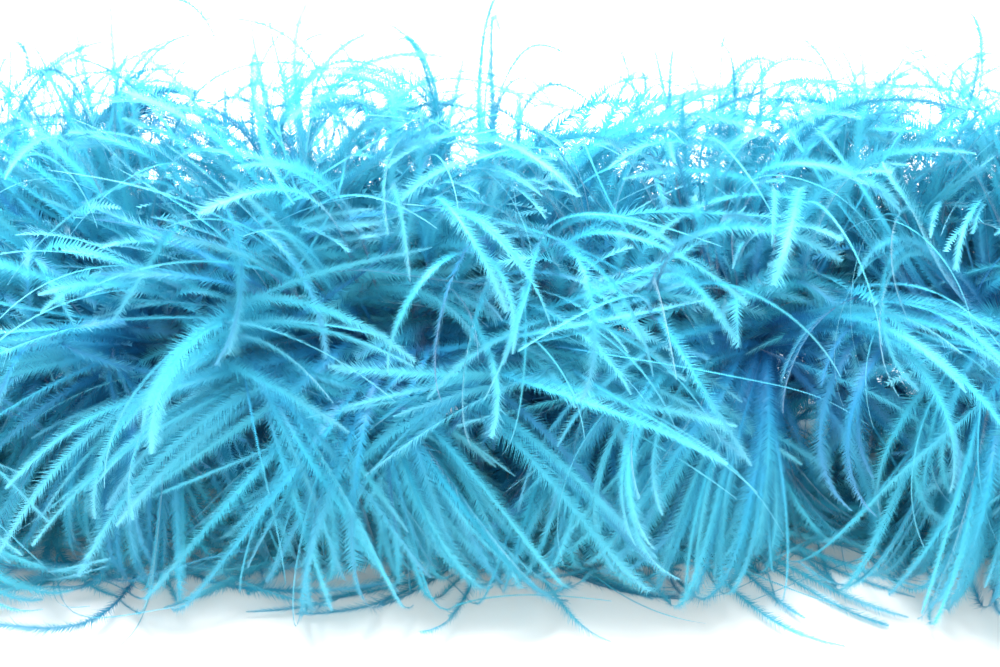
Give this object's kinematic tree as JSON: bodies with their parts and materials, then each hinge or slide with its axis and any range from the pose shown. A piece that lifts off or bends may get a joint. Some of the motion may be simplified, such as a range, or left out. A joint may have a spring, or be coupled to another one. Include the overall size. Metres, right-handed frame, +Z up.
{
  "type": "feather boa",
  "caption": "Long fluffy ostrich-feather boa: dense curling flues bound to a twisted core cord, flexing sideways along its length, for wearing round the neck or trimming a costume.",
  "frame": {"origin": "on the table, under the middle of the boa's length and width", "axes": "+X along the boa, +Y across it, away from the side the picture looks at, +Z up from the table"},
  "size_m": [1.83, 0.168, 0.152],
  "materials": {
    "feather_flues": "satin",
    "core_cord": "matte",
    "binding_thread": "matte"
  },
  "bodies": {
    "left_4": {"core_ply_a_left_4": "core_cord", "core_ply_b_left_4": "core_cord", "core_ply_c_left_4": "core_cord", "feather_ruff_left_4": "feather_flues", "stitch_thread_left_4": "binding_thread", "end_whipping_left": "binding_thread", "end_knot_left": "core_cord"},
    "left_3": {"core_ply_a_left_3": "core_cord", "core_ply_b_left_3": "core_cord", "core_ply_c_left_3": "core_cord", "feather_ruff_left_3": "feather_flues", "stitch_thread_left_3": "binding_thread"},
    "left_2": {"core_ply_a_left_2": "core_cord", "core_ply_b_left_2": "core_cord", "core_ply_c_left_2": "core_cord", "feather_ruff_left_2": "feather_flues", "stitch_thread_left_2": "binding_thread"},
    "left_1": {"core_ply_a_left_1": "core_cord", "core_ply_b_left_1": "core_cord", "core_ply_c_left_1": "core_cord", "feather_ruff_left_1": "feather_flues", "stitch_thread_left_1": "binding_thread"},
    "middle": {"core_ply_a_middle": "core_cord", "core_ply_b_middle": "core_cord", "core_ply_c_middle": "core_cord", "feather_ruff_middle": "feather_flues", "stitch_thread_middle": "binding_thread"},
    "right_1": {"core_ply_a_right_1": "core_cord", "core_ply_b_right_1": "core_cord", "core_ply_c_right_1": "core_cord", "feather_ruff_right_1": "feather_flues", "stitch_thread_right_1": "binding_thread"},
    "right_2": {"core_ply_a_right_2": "core_cord", "core_ply_b_right_2": "core_cord", "core_ply_c_right_2": "core_cord", "feather_ruff_right_2": "feather_flues", "stitch_thread_right_2": "binding_thread"},
    "right_3": {"core_ply_a_right_3": "core_cord", "core_ply_b_right_3": "core_cord", "core_ply_c_right_3": "core_cord", "feather_ruff_right_3": "feather_flues", "stitch_thread_right_3": "binding_thread"},
    "right_4": {"core_ply_a_right_4": "core_cord", "core_ply_b_right_4": "core_cord", "core_ply_c_right_4": "core_cord", "feather_ruff_right_4": "feather_flues", "stitch_thread_right_4": "binding_thread", "end_whipping_right": "binding_thread", "end_knot_right": "core_cord"}
  },
  "joints": [
    {"name": "bend_left_1", "type": "hinge", "parent": "middle", "child": "left_1", "pos_m": [-0.09444, 0, 0.068], "axis": [0, 0, -1], "range_deg": [-35, 35]},
    {"name": "bend_left_2", "type": "hinge", "parent": "left_1", "child": "left_2", "pos_m": [-0.28333, 0, 0.068], "axis": [0, 0, -1], "range_deg": [-35, 35]},
    {"name": "bend_left_3", "type": "hinge", "parent": "left_2", "child": "left_3", "pos_m": [-0.47222, 0, 0.068], "axis": [0, 0, -1], "range_deg": [-35, 35]},
    {"name": "bend_left_4", "type": "hinge", "parent": "left_3", "child": "left_4", "pos_m": [-0.66111, 0, 0.068], "axis": [0, 0, -1], "range_deg": [-35, 35]},
    {"name": "bend_right_1", "type": "hinge", "parent": "middle", "child": "right_1", "pos_m": [0.09444, 0, 0.068], "axis": [0, 0, 1], "range_deg": [-35, 35]},
    {"name": "bend_right_2", "type": "hinge", "parent": "right_1", "child": "right_2", "pos_m": [0.28333, 0, 0.068], "axis": [0, 0, 1], "range_deg": [-35, 35]},
    {"name": "bend_right_3", "type": "hinge", "parent": "right_2", "child": "right_3", "pos_m": [0.47222, 0, 0.068], "axis": [0, 0, 1], "range_deg": [-35, 35]},
    {"name": "bend_right_4", "type": "hinge", "parent": "right_3", "child": "right_4", "pos_m": [0.66111, 0, 0.068], "axis": [0, 0, 1], "range_deg": [-35, 35]}
  ]
}
